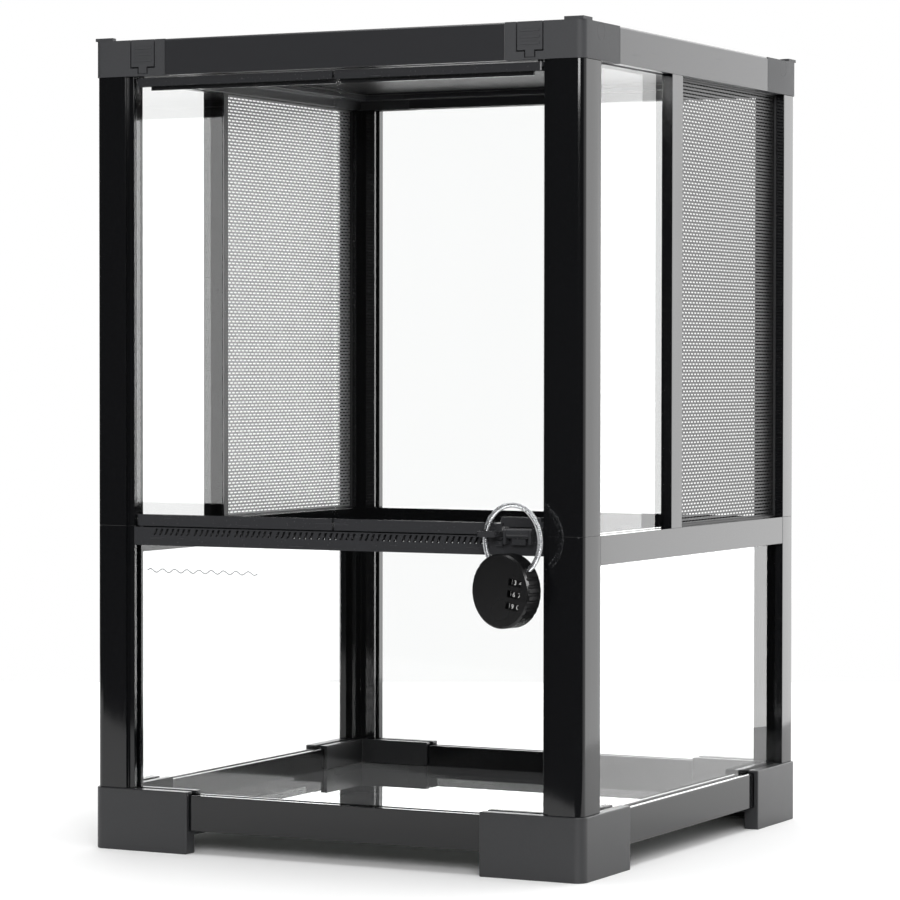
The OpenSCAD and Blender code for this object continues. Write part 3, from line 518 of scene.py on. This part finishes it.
def expanded_sheet(name, width, height, to_frame, metal):
    """Strands at v = row * pitch + swing * cos(2 pi u / hole pitch), with every other row
    shifted by half a hole, and webs between them. The outer two are straight. The function
    to_frame brings u, v and depth to the frame."""
    rows = int(height / ROW_PITCH)
    steps = int(2 * width / HOLE_PITCH)
    u = np.linspace(0, width, steps + 1)
    row = np.arange(rows + 1)[:, None]
    level = row * (height - STRAND_W) / rows + STRAND_W / 2
    phase = np.where((np.arange(steps + 1) + row) % 2 == 0, 1.0, -1.0)
    middle = level + SWING * phase * ((row > 0) & (row < rows))
    bars, bar_faces = strand_bars(u, middle)
    links, link_faces = webs(u, middle, (phase[:-1] > 0) & (phase[1:] < 0))
    faces = np.concatenate([bar_faces, link_faces + len(bars)])
    print(name, "has", rows, "rows and", 2 * len(faces), "triangles")
    return mesh_object(name, to_frame(np.concatenate([bars, links])), faces, metal)


def make_side_screen(side, metal):
    """The fine mesh of one side, in place of the CAD net."""
    low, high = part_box("screen_mesh_" + side)
    middle_x = (low.x + high.x) / 2

    def to_frame(p):
        return np.stack([middle_x + p[:, 2], low.y + p[:, 0], low.z + p[:, 1]], -1)

    made = expanded_sheet("fine_mesh_" + side, high.y - low.y, high.z - low.z, to_frame, metal)
    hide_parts("screen_mesh_" + side)
    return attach(made, "frame")


def make_lid_screen(part):
    """Half of the lid's fine mesh; two halves keep each piece light."""
    low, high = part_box("lid_mesh")
    middle = (low.x + high.x) / 2
    start = low.x if part == "left" else middle
    level = (low.z + high.z) / 2

    def to_frame(p):
        return np.stack([start + p[:, 0], low.y + p[:, 1], level + p[:, 2]], -1)

    made = expanded_sheet("lid_fine_mesh_" + part, middle - low.x, high.y - low.y, to_frame,
                          dark_mesh)
    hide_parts("lid_mesh")
    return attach(made, "lid")


# The left screen takes the lighter copy, which is painted light.
for side, metal in (("left", lit_copy_mesh), ("right", dark_mesh)):
    make_side_screen(side, metal)
    make_lid_screen(side)

# %% [markdown]
# ## The padlock's cable
# A wire rope is strands that wind round each other. A smooth tube with stripes in its bump would
# lose them at its outline, where they show most, so every strand is made. One strand is a tube
# whose centre line goes round the cable's own centre line: the big loop gives the place, the
# twist gives the offset. The loop and the lean of the padlock are the CAD model's, written again
# in millimetres, with the origin in the middle of the padlock's body.

# %% The padlock's own frame
EYE = Vector((95.3, -154.1, 181.05)) * MM
LOCK_YAW = math.radians(14)
LOCK_TILT = math.radians(9)
LOOP_R = 18.6 * MM
LOOP_UP = 26.8 * MM
LEG_IN = 11.6 * MM
CABLE_R = 1.5 * MM
LOCK_PLACE = (Matrix.Translation(EYE) @ Matrix.Rotation(-LOCK_YAW, 4, "Z")
              @ Matrix.Rotation(LOCK_TILT, 4, "Y") @ Matrix.Translation((LOOP_R, 0, -LOOP_UP)))


def in_lock(points):
    """Points of the padlock's own frame, brought to the row frame."""
    turn = np.array(LOCK_PLACE)
    return points @ turn[:3, :3].T + turn[:3, 3]


# %% Wire rope
STRANDS = 7
TWISTS = 15
STRAND_SIDES = 8
STRAND_SHARE = 0.34
LOOP_STEPS = 360
END_GAP = math.radians(0.3)
CAP = np.array([[0, 1, 2, 3], [0, 3, 4, 7], [4, 5, 6, 7]])


def tube(centre, across, above, radius):
    """A round tube: ring points are centre + radius * (cos t * across + sin t * above). Three
    quads close each end."""
    count = len(centre)
    t = np.linspace(0, 2 * math.pi, STRAND_SIDES, endpoint=False)
    ring = (np.cos(t)[None, :, None] * across[:, None] + np.sin(t)[None, :, None] * above[:, None])
    points = centre[:, None] + radius * ring
    first = np.arange(count - 1)[:, None] * STRAND_SIDES
    k = np.arange(STRAND_SIDES)
    after = (k + 1) % STRAND_SIDES
    faces = np.stack([first + k, first + after, first + STRAND_SIDES + after,
                      first + STRAND_SIDES + k], -1).reshape(-1, 4)
    ends = np.concatenate([CAP[:, ::-1], CAP + (count - 1) * STRAND_SIDES])
    return points.reshape(-1, 3), np.concatenate([faces, ends])


def make_cable():
    """Strands round a circle: angle a along the loop, twist b = 2 pi * turns * share. The last
    strand is the core and stays in the middle."""
    start = math.asin(LEG_IN / LOOP_R) - math.pi / 2 + END_GAP
    a = np.linspace(start, math.pi - start, LOOP_STEPS + 1)
    out = np.stack([np.cos(a), 0 * a, np.sin(a)], -1)
    side = np.tile([0.0, 1.0, 0.0], (len(a), 1))
    centre = out * LOOP_R + [0, 0, LOOP_UP]
    core = CABLE_R * STRAND_SHARE
    points, faces, start_at = [], [], 0
    for k in range(STRANDS):
        b = 2 * math.pi * (k / (STRANDS - 1) + TWISTS * np.linspace(0, 1, len(a)))
        reach = 0.0 if k == STRANDS - 1 else CABLE_R - core
        line = centre + reach * (np.cos(b)[:, None] * out + np.sin(b)[:, None] * side)
        p, f = tube(line, out, side, core)
        points.append(p)
        faces.append(f + start_at)
        start_at += len(p)
    made = mesh_object("wire_rope", in_lock(np.concatenate(points)), np.concatenate(faces),
                       cable_steel)
    made.data.polygons.foreach_set("use_smooth", [True] * len(made.data.polygons))
    print("wire rope:", STRANDS, "strands,", round(LOOP_R * (a[-1] - a[0]) / MM, 1), "mm long")
    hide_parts("lock_cable")
    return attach(made, "padlock")


make_cable()

# %% [markdown]
# ## Numbers on the dials
# Each dial carries the numbers 0 to 9. A picture of them would blur close up, so they are text,
# a hair above the dial. Text is made flat, turned into a mesh, and then bent round the dial: a
# point x to the side becomes the angle x / radius.

# %% Dial numbers
DIAL_R = 4.9 * MM
DIAL_X = 9.4 * MM
DIAL_Y = -0.1 * MM
DIAL_PITCH = 6.3 * MM
NUMBER_SIZE = 3.375 * MM
PRINT_GAP = 0.03 * MM
FIRST_SHIFT = 3


def flat_text(word, size):
    """The word as a flat mesh, centred, with its points as an array."""
    curve = bpy.data.curves.new("word", "FONT")
    curve.body = word
    curve.size = size
    curve.align_x = "CENTER"
    curve.align_y = "CENTER"
    holder = bpy.data.objects.new("word", curve)
    bpy.context.scene.collection.objects.link(holder)
    bpy.context.view_layer.update()
    mesh = bpy.data.meshes.new_from_object(holder)
    points = np.empty(len(mesh.vertices) * 3)
    mesh.vertices.foreach_get("co", points)
    faces = [tuple(p.vertices) for p in mesh.polygons]
    bpy.data.objects.remove(holder)
    bpy.data.curves.remove(curve)
    bpy.data.meshes.remove(mesh)
    return points.reshape(-1, 3), faces


def make_numbers(k):
    """Ten numbers round dial k, where 1 is the top one: x = r sin(angle), y = -r cos(angle).
    Each dial shows another number at the front."""
    centre = np.array([DIAL_X, DIAL_Y, (2 - k) * DIAL_PITCH])
    r = DIAL_R + PRINT_GAP
    points, faces, start = [], [], 0
    for n in range(10):
        p, f = flat_text(str((n + FIRST_SHIFT * k) % 10), NUMBER_SIZE)
        angle = p[:, 0] / DIAL_R + 2 * math.pi * n / 10
        points.append(centre + np.stack([np.sin(angle) * r, -np.cos(angle) * r, p[:, 1]], -1))
        faces += [tuple(i + start for i in face) for face in f]
        start += len(p)
    made = mesh_object(f"dial_numbers_{k}", in_lock(np.concatenate(points)), faces, number_ink)
    print(made.name, "has", len(faces), "faces")
    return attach(made, f"dial_{k}")


for k in (1, 2, 3):
    make_numbers(k)

# %% [markdown]
# ## The level line
# A thin grey wave is printed on the lower front glass. It could be a pattern in the glass's
# material, but a flat ribbon whose middle follows a sine is simpler, and it stays sharp. It lies
# a hair in front of the glass.

# %% Level line
LINE_FROM = -118.7 * MM
LINE_TO = -48.3 * MM
LINE_Z = 155.5 * MM
LINE_WAVES = 9
STEPS_PER_WAVE = 16
LINE_SWING = 0.95 * MM
LINE_W = 0.55 * MM


def make_level_line():
    """A ribbon along z = z0 + swing * sin(2 pi waves s), as wide across the line everywhere."""
    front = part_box("lower_glass_front")[0].y
    s = np.linspace(0, 1, LINE_WAVES * STEPS_PER_WAVE + 1)
    x = LINE_FROM + (LINE_TO - LINE_FROM) * s
    turn = 2 * math.pi * LINE_WAVES * s
    z = LINE_Z + LINE_SWING * np.sin(turn)
    slope = LINE_SWING * 2 * math.pi * LINE_WAVES * np.cos(turn) / (LINE_TO - LINE_FROM)
    across = np.stack([-slope, 0 * s, np.ones_like(s)], -1)
    across /= np.linalg.norm(across, axis=1)[:, None]
    middle = np.stack([x, np.full_like(s, front - PRINT_GAP), z], -1)
    points = np.stack([middle - across * LINE_W / 2, middle + across * LINE_W / 2], 1)
    faces = np.arange(len(s) - 1)[:, None] * 2 + [0, 2, 3, 1]
    made = mesh_object("level_line", points, faces, line_ink)
    print("level line:", round((LINE_TO - LINE_FROM) / MM, 1), "mm long,", LINE_WAVES, "waves")
    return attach(made, "frame")


make_level_line()

# %% [markdown]
# ## Seals behind the doors
# Daylight doesn't show under and over the doors, nor through the vent: a low sill stands behind
# the doors on the vent bar, a stop hangs behind their top edge, and a baffle stands behind the
# slots. Soft strips like these could be swept profiles, but little more than their edges shows,
# so they are plain boxes, with their places worked out from their neighbours.

# %% Door seals
SEAL_T = 1.2 * MM
SEAL_H = 2.6 * MM
SEAL_GAP = 0.6 * MM
RAIL_LAP = 0.3 * MM
VENT_BELOW_POST = 0.4 * MM
BAFFLE_Y = -142.6 * MM
BAFFLE_LOW = 4.2 * MM
BAFFLE_HIGH = 1.4 * MM
VENT_END = 8.5 * MM


def boxes(name, corners, material):
    """One mesh of boxes: each point is low + unit * (high - low) for a corner of a unit box."""
    points = np.concatenate([low + UNIT_BOX * (np.array(high) - low) for low, high in corners])
    faces = np.concatenate([BOX_FACES + 8 * i for i in range(len(corners))])
    return mesh_object(name, points, faces, material)


def make_seals():
    """Sill, top stop and baffle, from post to post."""
    vent_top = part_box("lower_post_front_left")[1].z - VENT_BELOW_POST
    strip_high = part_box("door_bottom_strip_left")[1]
    top_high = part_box("door_top_strip_left")[1]
    rail_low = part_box("top_rail_front")[0]
    left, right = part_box("lower_post_front_left")[1].x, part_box("lower_post_front_right")[0].x
    sill = strip_high.y + SEAL_GAP
    stop = top_high.y + SEAL_GAP
    made = boxes("door_seals", [
        ([left, sill, vent_top], [right, sill + SEAL_T, vent_top + SEAL_H]),
        ([left, stop, top_high.z - SEAL_H], [right, stop + SEAL_T, rail_low.z + RAIL_LAP]),
        ([left + VENT_END, BAFFLE_Y, vent_top - BAFFLE_LOW],
         [right - VENT_END, BAFFLE_Y + SEAL_T, vent_top - BAFFLE_HIGH])], frame_black)
    print("seals: sill at y", round(sill / MM, 2), "stop at y", round(stop / MM, 2),
          "vent top at z", round(vent_top / MM, 2))
    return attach(made, "frame")


make_seals()

# %% [markdown]
# ## Light and surroundings
# Black gloss shows the room more than its own colour. The studio had a bright white sweep behind
# and to the right, one soft box beside the camera and one above, and was dark elsewhere. A photo
# of a studio could go round the scene, but a rule by direction needs no file. So the world is
# white where the camera and the glass look through, and for reflections it is bright behind and
# dark in front, by the direction of the ray.

# %% World
FRONT_DARK = 0.05
AMBIENT = 0.45
RIGHT_SHARE = 0.25
DARK_UNTIL, BRIGHT_FROM = 0.10, 0.45


def make_world():
    """White for camera and transmission rays. For glossy rays a ramp on y + share * x, from
    dark in front to white behind. A plain grey for the rest."""
    world = bpy.data.worlds.new("studio")
    bpy.context.scene.world = world
    w = Shader(world)
    direction = w.node("ShaderNodeTexCoord", out="Generated")
    x, y = (w.node("ShaderNodeSeparateXYZ", {}, {0: direction}, out=axis) for axis in "XY")
    behind = w.ramp(y + x * RIGHT_SHARE, DARK_UNTIL, BRIGHT_FROM).clamp()
    mirrored = FRONT_DARK + behind * (1 - FRONT_DARK)
    seen = w.any_ray("Is Camera Ray", "Is Transmission Ray")
    is_glossy = w.rays("Is Glossy Ray")
    other = mirrored * is_glossy + AMBIENT * (1 - is_glossy)
    sky = w.node("ShaderNodeBackground", {}, {"Color": grey(1.0),
                                              "Strength": seen + (1 - seen) * other})
    w.output(sky, "ShaderNodeOutputWorld")
    print("world: reflections", FRONT_DARK, "in front and 1 behind, other light", AMBIENT)


make_world()

# %% [markdown]
# ## Soft boxes
# Long straight highlights on gloss black are the mirror images of large lamps, so the lamps are
# rectangles as big as real soft boxes. Each is given by its brightness, because a lamp's power
# would have to change whenever its size does. The sweep is two boxes side by side behind the
# right, and the nearer one is the dimmer one. They reach below the floor's level, because the
# side panels mirror them past the floor's edge.


# %% Lamps
SWEEP_MIDDLE = Vector((0.62, 0.98, 0.32))
SWEEP_ASIDE = Vector((0.883, -0.469, 0))
SWEEP_HEIGHT = 1.82
SWEEP_EDGE = 0.04


def soft_box(name, place, target, size, brightness):
    """A rectangular lamp turned to its target: power = brightness * pi * area."""
    data = bpy.data.lights.new(name, "AREA")
    data.shape = "RECTANGLE"
    data.size, data.size_y = size
    data.energy = brightness * math.pi * size[0] * size[1]
    lamp = bpy.data.objects.new(name, data)
    lamp.location = place
    lamp.rotation_mode = "QUATERNION"
    lamp.rotation_quaternion = (Vector(target) - Vector(place)).to_track_quat("-Z", "Y")
    lamp.visible_camera = False
    bpy.context.scene.collection.objects.link(lamp)
    print("soft box", name, "has a power of", round(data.energy, 1), "W")


soft_box("key", place=(1.02, -1.95, 0.94), target=(0, 0, 0.25), size=(1.1, 0.76), brightness=12)
soft_box("top", place=(0, 0.1, 2.1), target=(0, 0, 0.2), size=(1.6, 1.3), brightness=5)
for name, width, side, brightness in (("sweep_near", 0.5, 1, 1.0), ("sweep_far", 0.7, -1, 1.9)):
    place = SWEEP_MIDDLE + SWEEP_ASIDE * (SWEEP_EDGE + side * width / 2)
    facing = SWEEP_ASIDE.cross(Vector((0, 0, 1)))
    soft_box(name, place, place + facing, (width, SWEEP_HEIGHT), brightness)
soft_box("backdrop", place=(-0.62, 1.35, 0.62), target=(0, 0, 0.3), size=(1.5, 1.22),
         brightness=1.6)

# %% [markdown]
# ## The floor
# The studio's table is a plain pale sheet. To the camera it looks a little lighter than to the
# object, so that it joins the white of the room, and the shadow under the object stays. A curved
# backdrop would hide the join as well, but the side panels would mirror it. The floor ends in
# front of the object, where the studio's table ended, and the dark beyond is what the front faces
# mirror. It ends early on the right, so that the side faces mirror the bright sweep below the
# horizon too.

# %% Floor
FLOOR_SEEN = 0.95
FLOOR_LIT = 0.85
FLOOR_LEFT = 1.1
FLOOR_RIGHT = 0.6
FLOOR_BACK = 0.95
FLOOR_FRONT = 0.41


def make_floor():
    """A flat rectangle whose edges run along and across the camera's direction."""
    m = new_material("floor")
    seen = m.any_ray("Is Camera Ray", "Is Transmission Ray")
    lit = m.node("ShaderNodeBsdfDiffuse", {}, {"Color": grey(FLOOR_LIT)})
    light = m.node("ShaderNodeBsdfDiffuse", {}, {"Color": grey(FLOOR_SEEN)})
    m.output(m.node("ShaderNodeMixShader", {}, {0: seen, 1: lit, 2: light}))
    toward = np.array([math.sin(CAMERA_YAW), -math.cos(CAMERA_YAW), 0])
    aside = np.array([math.cos(CAMERA_YAW), math.sin(CAMERA_YAW), 0])
    front, back = toward * FLOOR_FRONT, -toward * FLOOR_BACK
    left, right = -aside * FLOOR_LEFT, aside * FLOOR_RIGHT
    points = np.array([front + left, front + right, back + right, back + left])
    mesh_object("floor", points, [(0, 1, 2, 3)], m.owner)
    print("floor:", round(FLOOR_LEFT + FLOOR_RIGHT, 2), "m wide and",
          round(FLOOR_FRONT + FLOOR_BACK, 2), "m deep")


make_floor()

# %% [markdown]
# ## The end
# The colours are shown as they are.

# %% Finish
bpy.context.scene.view_settings.view_transform = "Standard"
